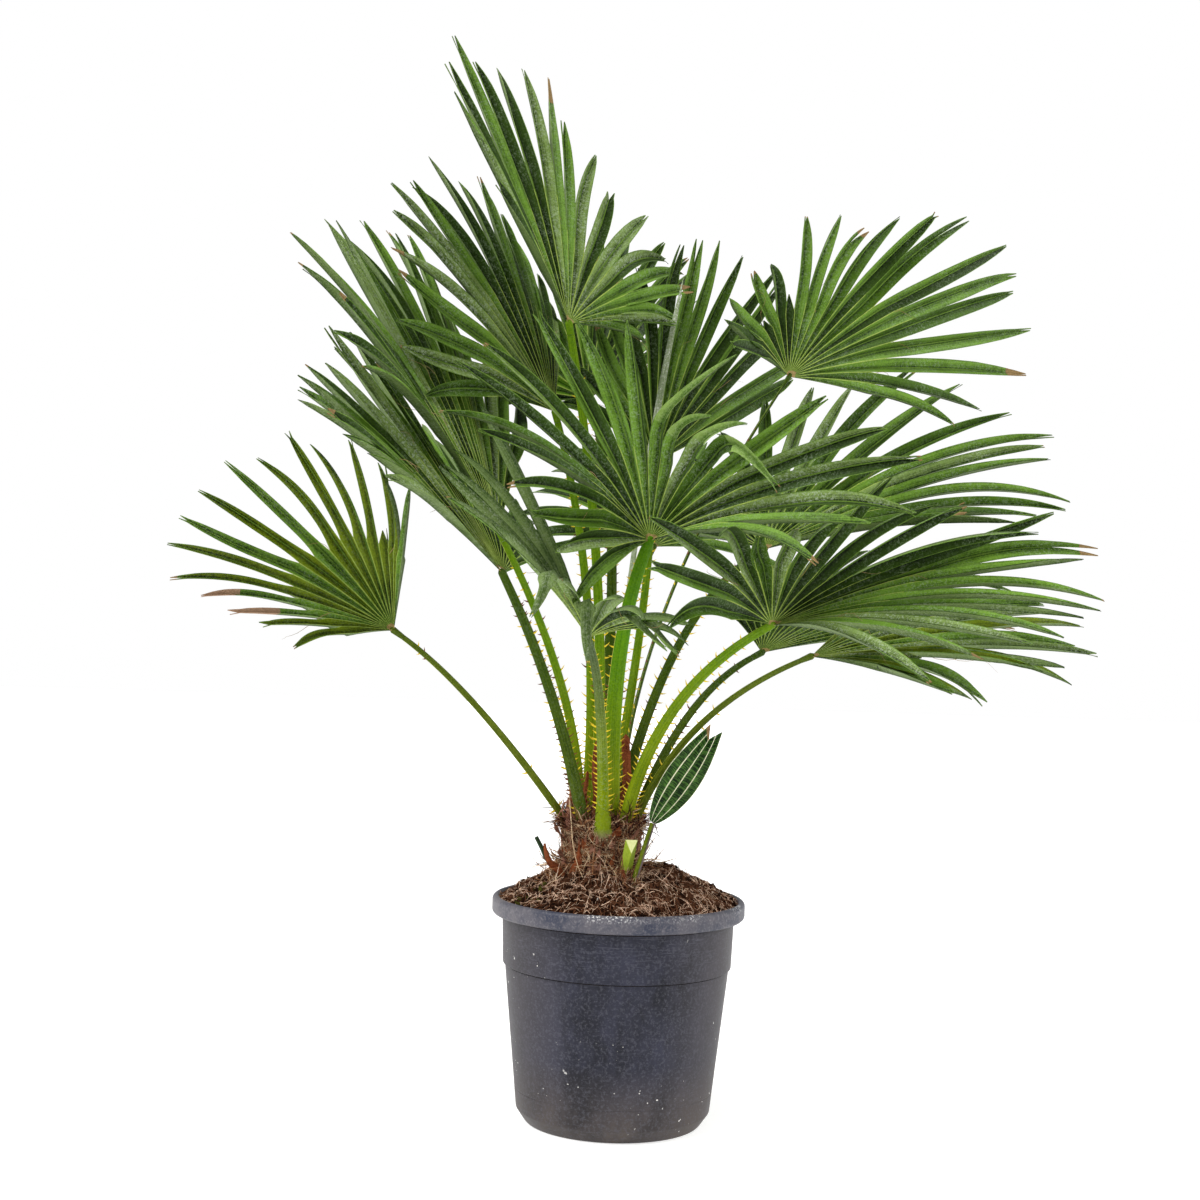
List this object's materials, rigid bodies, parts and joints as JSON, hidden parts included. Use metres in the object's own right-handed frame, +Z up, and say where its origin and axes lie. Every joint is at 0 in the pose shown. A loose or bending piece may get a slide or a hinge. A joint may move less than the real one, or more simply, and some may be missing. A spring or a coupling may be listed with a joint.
{
  "type": "potted fan palm",
  "caption": "Bushy fan palm with split fan leaves on long spiny stalks, a short fibrous stem and a tapered round nursery pot filled with soil.",
  "frame": {"origin": "centre of the pot's flat underside", "axes": "+Z up; -Y towards the side that the picture shows"},
  "size_m": [1.0587, 1.0167, 1.2754],
  "materials": {
    "pot": "dark slate plastic, dusty and scuffed",
    "soil": "loose fibrous peat",
    "fibre": "shaggy brown leaf-sheath fibre",
    "stalk": "smooth green stalk with yellow edges and spines",
    "leaf": "leathery green leaf, dusty grey in places",
    "young_leaf": "fresh dark green leaf with pale veins"
  },
  "bodies": {
    "root": {"pot": "pot", "soil": "soil", "trunk": "fibre", "petiole_front_mid": "stalk", "blade_front_mid": "leaf", "petiole_right_front": "stalk", "blade_right_front": "leaf", "petiole_front_low": "stalk", "blade_front_low": "leaf", "petiole_left_low": "stalk", "blade_left_low": "leaf", "petiole_left_high": "stalk", "blade_left_high": "leaf", "petiole_far_left": "stalk", "blade_far_left": "leaf", "petiole_top": "stalk", "blade_top": "leaf", "petiole_right_high": "stalk", "blade_right_high": "leaf", "petiole_up_left": "stalk", "blade_up_left": "leaf", "petiole_far_right": "stalk", "blade_far_right": "leaf", "petiole_right_mid": "stalk", "blade_right_mid": "leaf", "petiole_right_low": "stalk", "blade_right_low": "leaf", "petiole_back_right": "stalk", "blade_back_right": "leaf", "petiole_back_left": "stalk", "blade_back_left": "leaf", "petiole_rear_mid": "stalk", "blade_rear_mid": "leaf", "petiole_rear_left": "stalk", "blade_rear_left": "leaf", "petiole_rear_right": "stalk", "blade_rear_right": "leaf", "spear_leaf": "leaf", "young_stalk": "stalk", "young_leaf": "young_leaf", "cut_stalk": "stalk", "broken_stalk": "stalk"}
  },
  "joints": []
}
